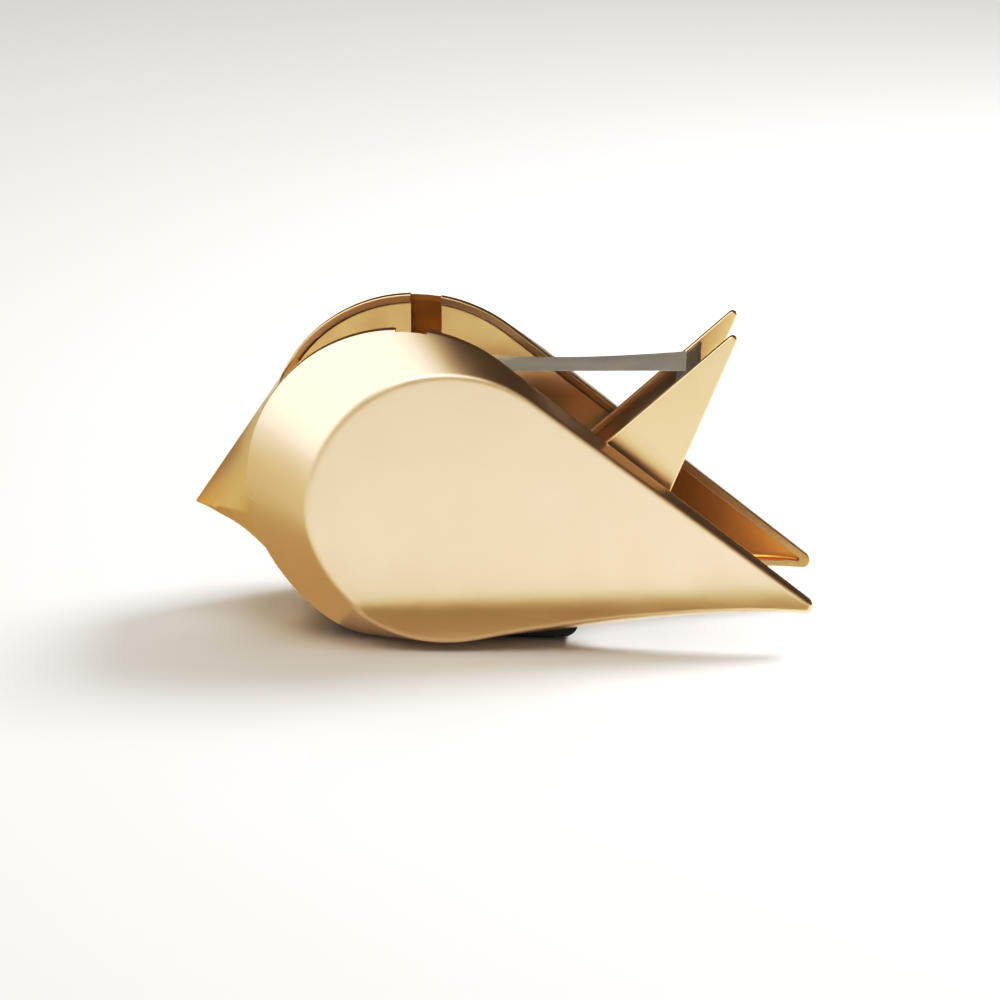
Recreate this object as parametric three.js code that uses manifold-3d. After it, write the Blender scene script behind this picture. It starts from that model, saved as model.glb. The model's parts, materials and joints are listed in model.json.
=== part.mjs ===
// Bird-shaped desktop tape dispenser. Millimetres, +Z up, beak towards -X, tail towards +X.
// The origin lies on the table, under the middle of the head.

import * as THREE from 'three';
import { mergeVertices } from 'three/addons/utils/BufferGeometryUtils.js';
import Module from 'manifold-3d';

const wasm = await Module();
wasm.setup();

// ---- driving dimensions ----
const GAP = 0.3;
const DEG = Math.PI / 180;

const HEAD = { x: 0, z: 45.7, r: 43 };
const TAIL = { x: 109.2, z: 13.1, r: 2.2 };
const FACE_HEAD = { x: 13.2, z: 40.5, r: 37.9 };
const FACE_TAIL = { x: 109.4, z: 13.2, r: 1.8 };
const WING_FLAT_Z = 1.2;
const WING_FLAT_X = [-8, 20];
const CHIN_ANGLE = 205 * DEG;
const BELLY_ANGLE = -76.6 * DEG;
const UNDERTAIL_ANGLE = -94 * DEG;

const RIM_Y = 17.1;
const TIP_DEPTH = 3.2;
const FACE_TILT = 0.076;
const LIP_TIP = 0.9;
const LIP_TILT = 0.013;
const WALL = 2.2;
const FACE_WALL = 1.7;
const FACE_ROUNDING = 1.5;

const AXLE = { x: 2.5, z: 54.7, r: 4 };
const SLOT_WIDTH = 8.6;
const STUB_END_Y = 19.6;
const NOTCH_END_Y = 19.9;

const PLATE_RECESS = 0.8;
const PLATE_THICKNESS = 2.4;
const PLATE_IN_Y = RIM_Y + PLATE_RECESS;
const PLATE_OUT_Y = PLATE_IN_Y + PLATE_THICKNESS;

const FIN_FRONT = { x: 54.3, z: 56.7, angle: 42.9 * DEG };
const FIN_REAR = { x: 72, z: 43.2, angle: 68.5 * DEG };
const FIN_APEX_R = 1.2;
const FIN_HEEL_Z = 13.5;
const FIN_OUT_Y = 13.9;
const FIN_THICKNESS = 2.2;
const RAMP_RECESS = 1.5;
const RAMP_THICKNESS = 2;
const RAMP_TOP_Z = 76.4;

const BLADE_THICKNESS = 0.6;
const BLADE_HEIGHT = 8.5;
const TOOTH_COUNT = 16;
const TOOTH_DEPTH = 1.1;
const BLADE_TIP_Z = 78.8;

const BEAK_TOP_ANGLE = 145.1 * DEG;
const BEAK_TIP = { x: -61.1, z: 32.2 };
const BEAK_TIP_ANGLE = 197 * DEG;
const BEAK_WALL = 3;
const BEAK_INSET = 0.6;
const RIDGE_ROUNDING = 0.05;

const PAD_THICKNESS = 1;
const BASE_THICKNESS = 4.3;
const BASE_REAR_X = 47.5;
const BASE_REAR_R = 4;
const PAD_X = [-6.5, 42.5];
const FLOOR_REAR_X = 46;
const FLOOR_THICKNESS = 2.4;
const BASE_Z = PAD_THICKNESS + GAP;
const FLOOR_Z = BASE_Z + BASE_THICKNESS + GAP;
const FLOOR_TOP_Z = FLOOR_Z + FLOOR_THICKNESS;

const TAPE_WIDTH = 19;
const ROLL_R = 19.5;
const CORE = { inner: 12.7, outer: 14.3 };
const HUB_R = 12.3;
const HUB_HALF = 10.4;

const SCREW = { shank: 1.25, hole: 1.6, head: 2.6, headHeight: 0.8, boss: 3.4 };
const COUNTERBORE = { r: 3, depth: 1.9 };
const BASE_SCREW_X = [-2, 40];
const BASE_SCREW_Y = 8;
const BASE_BOSS_TOP = FLOOR_TOP_Z + 3.4;
const CAP_SCREWS = { front: { x: -22, z: 34 }, rear: { x: 46, z: 24 } };
const CAP_SCREW_LENGTH = 4.6;

// ---- colours and finishes ----
const GOLD = { color: 0xe6c98c, roughness: 0.34, metalness: 0.9 };
const FINISH = {
  gold: GOLD,
  beakGold: { color: 0xd9ae55, roughness: 0.32, metalness: 0.9 },
  innerGold: { color: 0xb07a35, roughness: 0.4, metalness: 0.85 },
  steel: { color: 0x7c7c78, roughness: 0.35, metalness: 1 },
  screw: { color: 0xa9a9a6, roughness: 0.3, metalness: 1 },
  tape: { color: 0xc9cac2, roughness: 0.5, metalness: 0 },
  strip: { color: 0xa5a59b, roughness: 0.55, metalness: 0 },
  core: { color: 0xe9e6dc, roughness: 0.6, metalness: 0 },
  hub: { color: 0xded7c4, roughness: 0.45, metalness: 0 },
  rubber: { color: 0x2c2b2a, roughness: 0.85, metalness: 0 },
  ballast: { color: 0x6d6f72, roughness: 0.6, metalness: 0.9 },
  basePlate: { color: 0x3a3733, roughness: 0.55, metalness: 0 },
};

// ---- solids and booleans ----
function solid(geometry) {
  const bare = geometry.clone();
  bare.deleteAttribute('normal');
  bare.deleteAttribute('uv');
  const merged = mergeVertices(bare, 1e-4);
  return new wasm.Manifold(new wasm.Mesh({
    numProp: 3,
    vertProperties: new Float32Array(merged.attributes.position.array),
    triVerts: new Uint32Array(merged.index.array),
  }));
}

function geometryOf(manifold) {
  const mesh = manifold.getMesh();
  const geometry = new THREE.BufferGeometry();
  geometry.setAttribute('position', new THREE.BufferAttribute(new Float32Array(mesh.vertProperties), 3));
  geometry.setIndex(new THREE.BufferAttribute(new Uint32Array(mesh.triVerts), 1));
  geometry.computeVertexNormals();
  return geometry;
}

function carve(geometry, joined, cut) {
  let body = solid(geometry);
  for (const piece of joined) body = body.add(solid(piece));
  for (const piece of cut) body = body.subtract(solid(piece));
  return geometryOf(body);
}

function box(x, y, z) {
  const geometry = new THREE.BoxGeometry(x[1] - x[0], y[1] - y[0], z[1] - z[0]);
  return geometry.translate((x[0] + x[1]) / 2, (y[0] + y[1]) / 2, (z[0] + z[1]) / 2);
}

// A cylinder along Y between two stations.
function rodY(x, z, radius, y0, y1, sides = 24) {
  const geometry = new THREE.CylinderGeometry(radius, radius, Math.abs(y1 - y0), sides);
  return geometry.translate(x, (y0 + y1) / 2, z);
}

// A cylinder along Z between two heights.
function rodZ(x, y, radius, z0, z1, sides = 24) {
  const geometry = new THREE.CylinderGeometry(radius, radius, z1 - z0, sides).rotateX(90 * DEG);
  return geometry.translate(x, y, (z0 + z1) / 2);
}

// Extrudes an outline drawn in the XZ plane between two Y stations.
function slab(points, y0, y1) {
  const low = Math.min(y0, y1);
  const high = Math.max(y0, y1);
  const geometry = new THREE.ExtrudeGeometry(new THREE.Shape(points), {
    depth: high - low,
    bevelEnabled: false,
  });
  return geometry.rotateX(90 * DEG).translate(0, high, 0);
}

// Turns a closed profile of [radius, y] points about the axle.
function turned(profile, segments) {
  const points = profile.map(([radius, y]) => new THREE.Vector2(radius, y));
  return new THREE.LatheGeometry(points, segments).translate(AXLE.x, 0, AXLE.z);
}

function signedVolume(positions, index) {
  const a = new THREE.Vector3();
  const b = new THREE.Vector3();
  const c = new THREE.Vector3();
  let sum = 0;
  for (let i = 0; i < index.length; i += 3) {
    a.fromArray(positions, index[i] * 3);
    b.fromArray(positions, index[i + 1] * 3);
    c.fromArray(positions, index[i + 2] * 3);
    sum += a.dot(b.cross(c));
  }
  return sum / 6;
}

// Skins a stack of closed rings (each the same number of Vector3) and closes both ends.
// flatten gives the 2-D view in which an end ring is triangulated.
function loft(rings, flatten) {
  const count = rings[0].length;
  const positions = rings.flat().flatMap((point) => point.toArray());
  const index = [];
  for (let r = 0; r < rings.length - 1; r += 1) {
    for (let i = 0; i < count; i += 1) {
      const a = r * count + i;
      const b = r * count + ((i + 1) % count);
      index.push(a, b, a + count, b, b + count, a + count);
    }
  }
  const endCap = (r, reversed) => {
    const triangles = THREE.ShapeUtils.triangulateShape(rings[r].map(flatten), []);
    for (const [a, b, c] of triangles) {
      const corners = reversed ? [a, c, b] : [a, b, c];
      index.push(...corners.map((corner) => r * count + corner));
    }
  };
  const clockwise = THREE.ShapeUtils.isClockWise(rings[0].map(flatten));
  endCap(0, !clockwise);
  endCap(rings.length - 1, clockwise);
  if (signedVolume(positions, index) < 0) {
    for (let i = 0; i < index.length; i += 3) {
      [index[i + 1], index[i + 2]] = [index[i + 2], index[i + 1]];
    }
  }
  const geometry = new THREE.BufferGeometry();
  geometry.setAttribute('position', new THREE.Float32BufferAttribute(positions, 3));
  geometry.setIndex(index);
  geometry.computeVertexNormals();
  return geometry;
}

// ---- teardrop outlines, in the XZ plane ----
const vec = (x, z) => new THREE.Vector2(x, z);
const onCircle = (c, angle) => vec(c.x + c.r * Math.cos(angle), c.z + c.r * Math.sin(angle));

// Joins sampled stretches into one closed outline without repeated points.
function joinStretches(stretches) {
  return stretches.flatMap((points) => points.slice(0, -1));
}

// The tail circle of an outline drawn inset by a wall thickness keeps a small radius.
function insetTail(head, tail, inset) {
  const small = Math.min(0.6, tail.r);
  if (tail.r - inset >= small) return { x: tail.x, z: tail.z, r: tail.r - inset };
  const along = (head.r - inset - small) / (head.r - tail.r);
  return {
    x: head.x + along * (tail.x - head.x),
    z: head.z + along * (tail.z - head.z),
    r: small,
  };
}

// Angle of the normal of the upper line that touches both circles.
function backAngle(head, tail) {
  const length = Math.hypot(tail.x - head.x, tail.z - head.z);
  return Math.atan2(tail.z - head.z, tail.x - head.x) + Math.acos((head.r - tail.r) / length);
}

function outline(headCircle, tailCircle, inset, belly) {
  const head = { x: headCircle.x, z: headCircle.z, r: headCircle.r - inset };
  const tail = insetTail(headCircle, tailCircle, inset);
  const back = backAngle(head, tail);
  const start = belly(head, inset);
  const arc = (c, from, to, count) =>
    new THREE.EllipseCurve(c.x, c.z, c.r, c.r, from, to, true).getPoints(count);
  const underTail = onCircle(tail, UNDERTAIL_ANGLE);
  const reach = underTail.x - start.point.x;
  const arch = new THREE.CubicBezierCurve(
    underTail,
    vec(underTail.x - 0.28 * reach, underTail.y + 0.02 * reach),
    vec(start.point.x + 0.28 * reach, start.point.y + 0.28 * reach * start.slope),
    start.point,
  );
  return joinStretches([
    start.front,
    arc(head, CHIN_ANGLE, back, 30),
    new THREE.LineCurve(onCircle(head, back), onCircle(tail, back)).getPoints(8),
    arc(tail, back, UNDERTAIL_ANGLE, 6),
    arch.getPoints(14),
  ]);
}

// The rim stands on a short flat and rises to the head circle in one curve under the chin.
function rimBelly(head, inset) {
  const floor = WING_FLAT_Z + inset;
  const chin = onCircle(head, CHIN_ANGLE);
  const flatEnd = vec(WING_FLAT_X[0] + 0.4 * inset, floor);
  const point = vec(WING_FLAT_X[1], floor);
  const rise = new THREE.CubicBezierCurve(
    flatEnd,
    vec(flatEnd.x - 13, floor),
    vec(chin.x + 5.5, chin.y - 12),
    chin,
  );
  const flat = new THREE.LineCurve(point, flatEnd).getPoints(3);
  return { point, slope: 0.1, front: [...flat.slice(0, -1), ...rise.getPoints(10)] };
}

// The face keeps its circle all the way round to the belly.
function faceBelly(head) {
  const curve = new THREE.EllipseCurve(head.x, head.z, head.r, head.r, BELLY_ANGLE, CHIN_ANGLE, true);
  return { point: onCircle(head, BELLY_ANGLE), slope: Math.tan(13.4 * DEG), front: curve.getPoints(13) };
}

const rimOutline = (inset) => outline(HEAD, TAIL, inset, rimBelly);
const faceOutline = (inset) => outline(FACE_HEAD, FACE_TAIL, inset, faceBelly);
const faceDepth = (x) => TIP_DEPTH + FACE_TILT * (TAIL.x - x);
const lipDepth = (x) => LIP_TIP + LIP_TILT * (TAIL.x - x);
const flattenXZ = (point) => new THREE.Vector2(point.x, point.z);

// ---- wing caps ----
function wingRing(points, depth, side) {
  return points.map((point) => new THREE.Vector3(point.x, side * (RIM_Y + depth(point.x)), point.y));
}

function wingShell(side) {
  const rim = rimOutline(0);
  const edge = faceOutline(0);
  const band = wingRing(rim, lipDepth, side);
  const corner = wingRing(edge, faceDepth, side);
  const flat = wingRing(faceOutline(FACE_ROUNDING), faceDepth, side);
  const bandEnd = corner.map((point, i) => {
    const length = point.distanceTo(band[i]);
    return point.clone().lerp(band[i], Math.min(FACE_ROUNDING / length, 0.5));
  });
  const rounding = (t) => corner.map((point, i) => {
    const curve = new THREE.QuadraticBezierCurve3(bandEnd[i], point, flat[i]);
    return curve.getPoint(t);
  });
  const hollow = (x) => Math.max(faceDepth(x) - FACE_WALL, 0.8);
  const shelf = (x) => Math.min(PLATE_OUT_Y + GAP - RIM_Y, 0.85 * hollow(x));
  return loft([
    flat,
    rounding(0.66),
    rounding(0.33),
    bandEnd,
    band,
    wingRing(rim, () => 0, side),
    wingRing(rimOutline(WALL), () => 0, side),
    wingRing(rimOutline(WALL), shelf, side),
    wingRing(faceOutline(WALL), hollow, side),
  ], flattenXZ);
}

// The shell, with posts for the cap screws and the notch that lets the stub axle through.
function wingCap(side) {
  const posts = [];
  const holes = [];
  for (const { x, z } of Object.values(CAP_SCREWS)) {
    const postEnd = RIM_Y + faceDepth(x) - 0.5 * FACE_WALL;
    posts.push(rodY(x, z, SCREW.boss, side * (PLATE_OUT_Y + GAP), side * postEnd));
    holes.push(rodY(x, z, SCREW.hole, side * PLATE_OUT_Y, side * (PLATE_OUT_Y + CAP_SCREW_LENGTH)));
  }
  const notchY = [side * (RIM_Y - 1), side * NOTCH_END_Y].sort((a, b) => a - b);
  const half = SLOT_WIDTH / 2;
  const notch = box([AXLE.x - half, AXLE.x + half], notchY, [HEAD.z + HEAD.r - 6, HEAD.z + HEAD.r + 4]);
  return carve(wingShell(side), posts, [...holes, notch]);
}

// ---- side plates ----
function finLineX(line, z) {
  return line.x + (z - line.z) / Math.tan(line.angle);
}

function sidePlate(side) {
  const blank = slab(rimOutline(WALL + GAP), side * PLATE_IN_Y, side * PLATE_OUT_Y);
  const reach = 60;
  const behindFins = slab([
    vec(finLineX(FIN_REAR, -5), -5),
    vec(finLineX(FIN_REAR, -5) + reach, -5),
    vec(finLineX(FIN_REAR, 90) + reach, 90),
    vec(finLineX(FIN_REAR, 90), 90),
  ], -30, 30);
  const half = SLOT_WIDTH / 2;
  const slot = box([AXLE.x - half, AXLE.x + half], [-30, 30], [AXLE.z, 100]);
  const slotEnd = rodY(AXLE.x, AXLE.z, half, -30, 30, 32);
  const holes = Object.values(CAP_SCREWS).map(({ x, z }) => rodY(x, z, SCREW.hole, -30, 30));
  return carve(blank, [], [behindFins, slot, slotEnd, ...holes]);
}

// ---- beak ----
function beakSections() {
  const throat = { x: HEAD.x, z: HEAD.z, r: HEAD.r - BEAK_INSET };
  const top = onCircle({ ...throat, r: HEAD.r }, BEAK_TOP_ANGLE);
  const tip = vec(BEAK_TIP.x, BEAK_TIP.z);
  const chin = rimBelly(throat, BEAK_INSET).front;
  const jaw = new THREE.CubicBezierCurve(tip, vec(-51, 30.3), vec(-46.5, 25.6), vec(-37.5, 16.2));
  const sections = [];
  const upper = 9;
  for (let i = 0; i <= upper; i += 1) {
    const t = i / upper;
    const angle = BEAK_TOP_ANGLE + t * (BEAK_TIP_ANGLE - BEAK_TOP_ANGLE);
    sections.push({ ridge: top.clone().lerp(tip, t), wall: onCircle(throat, angle) });
  }
  const chinPoints = [...chin].reverse().slice(0, 6);
  const lower = chinPoints.length;
  chinPoints.forEach((point, i) => {
    sections.push({ ridge: jaw.getPoint((i + 1) / lower), wall: point });
  });
  return sections;
}

// Each ring runs across the beak outside, from one wing to the other, and back inside.
function beak() {
  const half = RIM_Y - GAP;
  const stations = [-1, -0.66, -0.33, -0.06, 0, 0.06, 0.33, 0.66, 1];
  const centre = vec(HEAD.x, HEAD.z);
  const end = Math.hypot(1, RIDGE_ROUNDING);
  const rings = beakSections().map(({ ridge, wall }) => {
    const inward = centre.clone().sub(wall).normalize().multiplyScalar(BEAK_WALL);
    const across = (station, shift) => {
      const t = (end - Math.hypot(station, RIDGE_ROUNDING)) / (end - RIDGE_ROUNDING);
      const point = wall.clone().lerp(ridge, t).addScaledVector(inward, shift);
      return new THREE.Vector3(point.x, station * half, point.y);
    };
    const outside = stations.map((station) => across(station, 0));
    const inside = stations.map((station) => across(station, 1)).reverse();
    return [...outside, ...inside];
  });
  return loft(rings, (point) => new THREE.Vector2(point.y, point.x + 0.2 * point.z));
}

// ---- cradle floor and base ----
function cradleFloor() {
  const under = FLOOR_Z - WING_FLAT_Z;
  const front = (inset) => rimBelly({ ...HEAD, r: HEAD.r - inset }, inset).front.slice(2, -3);
  const blank = slab([
    vec(FLOOR_REAR_X, FLOOR_Z),
    vec(FLOOR_REAR_X, FLOOR_TOP_Z),
    ...front(under + FLOOR_THICKNESS),
    ...front(under).reverse(),
  ], -(RIM_Y - GAP), RIM_Y - GAP);
  const bosses = [];
  const holes = [];
  for (const x of BASE_SCREW_X) {
    for (const y of [-BASE_SCREW_Y, BASE_SCREW_Y]) {
      bosses.push(rodZ(x, y, SCREW.boss - 0.6, FLOOR_Z + 1, BASE_BOSS_TOP));
      holes.push(rodZ(x, y, SCREW.hole, FLOOR_Z - 1, BASE_BOSS_TOP + 1));
    }
  }
  return carve(blank, bosses, holes);
}

// A block with a swept front and a round rear corner, counterbored from below for the screws.
function basePlate() {
  const top = BASE_Z + BASE_THICKNESS;
  const corner = { x: BASE_REAR_X - BASE_REAR_R, z: BASE_Z + BASE_REAR_R };
  const rear = new THREE.EllipseCurve(
    corner.x, corner.z, BASE_REAR_R, BASE_REAR_R, -90 * DEG, 0, false,
  );
  const front = new THREE.QuadraticBezierCurve(
    vec(WING_FLAT_X[0] - 13.5, top),
    vec(WING_FLAT_X[0] - 8, BASE_Z),
    vec(WING_FLAT_X[0], BASE_Z),
  );
  const points = [...front.getPoints(8), ...rear.getPoints(8), vec(BASE_REAR_X, top)];
  const holes = [];
  for (const x of BASE_SCREW_X) {
    for (const y of [-BASE_SCREW_Y, BASE_SCREW_Y]) {
      holes.push(rodZ(x, y, SCREW.hole, 0, FLOOR_Z));
      holes.push(rodZ(x, y, COUNTERBORE.r, 0, BASE_Z + COUNTERBORE.depth));
    }
  }
  return carve(slab(points, -(RIM_Y - GAP), RIM_Y - GAP), [], holes);
}

function roundedRect(x, y, radius) {
  const shape = new THREE.Shape();
  shape.moveTo(x[0] + radius, y[0]);
  shape.lineTo(x[1] - radius, y[0]);
  shape.absarc(x[1] - radius, y[0] + radius, radius, -90 * DEG, 0, false);
  shape.lineTo(x[1], y[1] - radius);
  shape.absarc(x[1] - radius, y[1] - radius, radius, 0, 90 * DEG, false);
  shape.lineTo(x[0] + radius, y[1]);
  shape.absarc(x[0] + radius, y[1] - radius, radius, 90 * DEG, 180 * DEG, false);
  shape.lineTo(x[0], y[0] + radius);
  shape.absarc(x[0] + radius, y[0] + radius, radius, 180 * DEG, 270 * DEG, false);
  return shape;
}

function nonSkidPad() {
  const shape = roundedRect(PAD_X, [-15, 15], 4);
  return new THREE.ExtrudeGeometry(shape, { depth: PAD_THICKNESS, bevelEnabled: false, curveSegments: 6 });
}

// A screw along +Z or +Y: its head's outer face, the face it bears on, and the end of its shank.
function screw(headLow, headTop, end) {
  const profile = [
    [0, headLow],
    [SCREW.head - 0.5, headLow],
    [SCREW.head, headLow + 0.3],
    [SCREW.head, headTop],
    [SCREW.shank, headTop],
    [SCREW.shank, end - 0.6],
    [0, end],
  ];
  return new THREE.LatheGeometry(profile.map(([radius, height]) => new THREE.Vector2(radius, height)), 20);
}

function baseScrew(x, y) {
  const headTop = BASE_Z + COUNTERBORE.depth - GAP;
  const geometry = screw(headTop - SCREW.headHeight, headTop, BASE_BOSS_TOP - 0.4);
  return geometry.rotateX(90 * DEG).translate(x, y, 0);
}

function capScrew(spot, side) {
  const headTop = PLATE_IN_Y - GAP;
  const geometry = screw(headTop - SCREW.headHeight, headTop, PLATE_OUT_Y + CAP_SCREW_LENGTH - 0.4);
  if (side < 0) geometry.rotateX(180 * DEG);
  return geometry.translate(spot.x, 0, spot.z);
}

// A half-moon weight that lies in the belly of a wing cap.
function ballast(side) {
  const centre = { x: 12, z: 42, r: 33 };
  const from = 223 * DEG;
  const to = 317 * DEG;
  const points = new THREE.EllipseCurve(centre.x, centre.z, centre.r, centre.r, from, to, false).getPoints(20);
  const inner = PLATE_OUT_Y + GAP;
  return slab(points, side * inner, side * (inner + 2.9));
}

// ---- tail ----
function tailFin(side) {
  const front = FIN_FRONT;
  const rear = FIN_REAR;
  const low = FLOOR_TOP_Z + GAP;
  const frontNormal = front.angle + 90 * DEG;
  const rearNormal = rear.angle - 90 * DEG;
  const apex = apexCentre();
  const arc = new THREE.EllipseCurve(apex.x, apex.y, FIN_APEX_R, FIN_APEX_R, rearNormal, frontNormal, false);
  const points = [
    vec(finLineX(front, low), low),
    vec(FLOOR_REAR_X, low),
    vec(finLineX(rear, FIN_HEEL_Z), FIN_HEEL_Z),
    ...arc.getPoints(8),
  ];
  return slab(points, side * (FIN_OUT_Y - FIN_THICKNESS), side * FIN_OUT_Y);
}

// Centre of the rounding where the front and rear edges of a fin meet.
function apexCentre() {
  const a = Math.tan(FIN_FRONT.angle);
  const b = Math.tan(FIN_REAR.angle);
  const x = (FIN_REAR.z - b * FIN_REAR.x - FIN_FRONT.z + a * FIN_FRONT.x) / (a - b);
  const z = FIN_FRONT.z + a * (x - FIN_FRONT.x);
  const half = (FIN_REAR.angle - FIN_FRONT.angle) / 2;
  const middle = FIN_FRONT.angle + half;
  const back = FIN_APEX_R / Math.sin(half);
  return vec(x - back * Math.cos(middle), z - back * Math.sin(middle));
}

// A point behind the front edge of the fins: up the slope to a height, then in by a depth.
function behindFront(z, depth) {
  const x = finLineX(FIN_FRONT, z) + depth / Math.sin(FIN_FRONT.angle);
  return vec(x, z);
}

function tailRamp() {
  const half = FIN_OUT_Y - FIN_THICKNESS - GAP;
  const low = FLOOR_TOP_Z + GAP;
  return slab([
    behindFront(low, RAMP_RECESS),
    behindFront(low, RAMP_RECESS + RAMP_THICKNESS),
    behindFront(RAMP_TOP_Z - 1.2, RAMP_RECESS + RAMP_THICKNESS),
    behindFront(RAMP_TOP_Z, RAMP_RECESS),
  ], -half, half);
}

function cutterBlade() {
  const half = FIN_OUT_Y - FIN_THICKNESS - GAP;
  const pitch = (2 * half) / TOOTH_COUNT;
  const points = [new THREE.Vector2(-half, -BLADE_HEIGHT), new THREE.Vector2(half, -BLADE_HEIGHT)];
  for (let i = 0; i < TOOTH_COUNT; i += 1) {
    const y = half - i * pitch;
    points.push(new THREE.Vector2(y, -TOOTH_DEPTH));
    points.push(new THREE.Vector2(y - pitch / 2, 0));
  }
  points.push(new THREE.Vector2(-half, -TOOTH_DEPTH));
  const geometry = new THREE.ExtrudeGeometry(new THREE.Shape(points), {
    depth: BLADE_THICKNESS,
    bevelEnabled: false,
  });
  const across = new THREE.Vector3(0, 1, 0);
  const slope = new THREE.Vector3(Math.cos(FIN_FRONT.angle), 0, Math.sin(FIN_FRONT.angle));
  const rearward = across.clone().cross(slope);
  geometry.applyMatrix4(new THREE.Matrix4().makeBasis(across, slope, rearward));
  const tip = behindFront(BLADE_TIP_Z, RAMP_RECESS - GAP - BLADE_THICKNESS);
  return geometry.translate(tip.x, 0, tip.y);
}

// ---- roll, hub and tape ----
function hubSpool() {
  const dish = HUB_HALF - 2.2;
  const stub = AXLE.r;
  const half = [
    [0, STUB_END_Y],
    [stub - 0.6, STUB_END_Y],
    [stub, STUB_END_Y - 0.6],
    [stub, dish],
    [HUB_R - 2, dish],
    [HUB_R - 1.4, HUB_HALF],
    [HUB_R - 0.5, HUB_HALF],
    [HUB_R, HUB_HALF - 0.6],
  ];
  const other = half.map(([radius, y]) => [radius, -y]).reverse();
  return turned([...half, ...other].reverse(), 48);
}

function ring(inner, outer, halfWidth, rounding) {
  return turned([
    [inner, -halfWidth],
    [outer - rounding, -halfWidth],
    [outer, -halfWidth + rounding],
    [outer, halfWidth - rounding],
    [outer - rounding, halfWidth],
    [inner, halfWidth],
    [inner, -halfWidth],
  ], 64);
}

// The free strip leaves the top of the roll and ends on the face of the blade.
function tapeLeader() {
  const thickness = 0.35;
  const low = ROLL_R + GAP;
  const arcPart = (radius) =>
    new THREE.EllipseCurve(AXLE.x, AXLE.z, radius, radius, 112 * DEG, 91.3 * DEG, true).getPoints(6);
  const end = behindFront(76, RAMP_RECESS - 2 * GAP - BLADE_THICKNESS - 0.1);
  const under = [...arcPart(low), end];
  const over = [...arcPart(low + thickness), vec(end.x, end.y + thickness)];
  return slab([...under, ...over.reverse()], -TAPE_WIDTH / 2, TAPE_WIDTH / 2);
}

// ---- assembly ----
const dispenser = new THREE.Group();

function place(name, geometry, finish) {
  const mesh = new THREE.Mesh(geometry, new THREE.MeshStandardMaterial(finish));
  mesh.name = name;
  dispenser.add(mesh);
}

for (const [name, side] of Object.entries({ right: -1, left: 1 })) {
  place(`wing_cap_${name}`, wingCap(side), FINISH.gold);
  place(`side_plate_${name}`, sidePlate(side), FINISH.innerGold);
  place(`tail_fin_${name}`, tailFin(side), FINISH.gold);
  place(`ballast_${name}`, ballast(side), FINISH.ballast);
  for (const [end, spot] of Object.entries(CAP_SCREWS)) {
    place(`cap_screw_${name}_${end}`, capScrew(spot, side), FINISH.screw);
  }
  BASE_SCREW_X.forEach((x, i) => {
    place(`base_screw_${name}_${['front', 'rear'][i]}`, baseScrew(x, side * BASE_SCREW_Y), FINISH.screw);
  });
}

place('beak', beak(), FINISH.beakGold);
place('tail_ramp', tailRamp(), FINISH.innerGold);
place('cutter_blade', cutterBlade(), FINISH.steel);
place('cradle_floor', cradleFloor(), FINISH.innerGold);
place('base_plate', basePlate(), FINISH.basePlate);
place('non_skid_pad', nonSkidPad(), FINISH.rubber);
place('hub_spool', hubSpool(), FINISH.hub);
place('tape_core', ring(CORE.inner, CORE.outer, TAPE_WIDTH / 2, 0.2), FINISH.core);
place('tape_roll', ring(CORE.outer + GAP, ROLL_R, TAPE_WIDTH / 2, 0.2), FINISH.tape);
place('tape_leader', tapeLeader(), FINISH.strip);

export default dispenser;
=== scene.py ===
import json
import math

import bmesh
import bpy
import numpy as np
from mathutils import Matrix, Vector


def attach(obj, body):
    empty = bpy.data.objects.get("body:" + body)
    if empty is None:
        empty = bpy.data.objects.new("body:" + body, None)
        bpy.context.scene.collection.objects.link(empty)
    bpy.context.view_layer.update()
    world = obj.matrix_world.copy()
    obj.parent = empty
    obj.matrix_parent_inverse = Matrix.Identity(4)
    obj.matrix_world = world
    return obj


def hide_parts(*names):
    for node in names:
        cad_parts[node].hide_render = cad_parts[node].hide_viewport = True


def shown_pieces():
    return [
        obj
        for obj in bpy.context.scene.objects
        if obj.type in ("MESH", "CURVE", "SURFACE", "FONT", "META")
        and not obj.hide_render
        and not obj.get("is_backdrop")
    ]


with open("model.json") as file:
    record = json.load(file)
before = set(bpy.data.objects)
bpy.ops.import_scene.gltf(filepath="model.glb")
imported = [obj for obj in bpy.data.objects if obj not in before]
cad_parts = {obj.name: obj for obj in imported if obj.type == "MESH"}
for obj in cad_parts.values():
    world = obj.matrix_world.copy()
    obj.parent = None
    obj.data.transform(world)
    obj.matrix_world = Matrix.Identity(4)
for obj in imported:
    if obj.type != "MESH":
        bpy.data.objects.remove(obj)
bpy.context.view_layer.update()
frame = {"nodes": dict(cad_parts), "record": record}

MM = 0.001
DEG = math.pi / 180

# ---- driving dimensions, millimetres: x, z and radius of the circles that shape the wings ----
HEAD = (0.0, 45.7, 43.0)
TAIL = (109.2, 13.1, 2.2)
FACE_HEAD = (13.2, 40.5, 37.9)
FACE_TAIL = (109.4, 13.2, 1.8)
WING_FLAT_Z = 1.2
WING_FLAT_X = (-8.0, 20.0)
CHIN_ANGLE = 205 * DEG
CHIN_PULL = 13.2
BELLY_ANGLE = 283.4 * DEG
UNDERTAIL_ANGLE = -94 * DEG
BELLY_SLOPE = math.tan(13.4 * DEG)
RIM_Y = 17.1
TIP_DEPTH, FACE_TILT = 3.2, 0.076
LIP_TIP, LIP_TILT = 0.9, 0.013
WALL, FACE_WALL = 2.2, 1.7
FACE_ROUNDING = 1.5
CREASE_ROUNDING = 0.45
LIP_ROUNDING = 0.35
GAP = 0.3
FACE_STEPS, FILLET_STEPS = 6, 4
FACE_SUPPORTS = (1.6, 0.4)
BAND_SUPPORT = 0.5
BAND_SHARES = ((0.62, 0.38), (0.35, 0.65))
LIP_SUPPORT = 0.2
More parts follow.
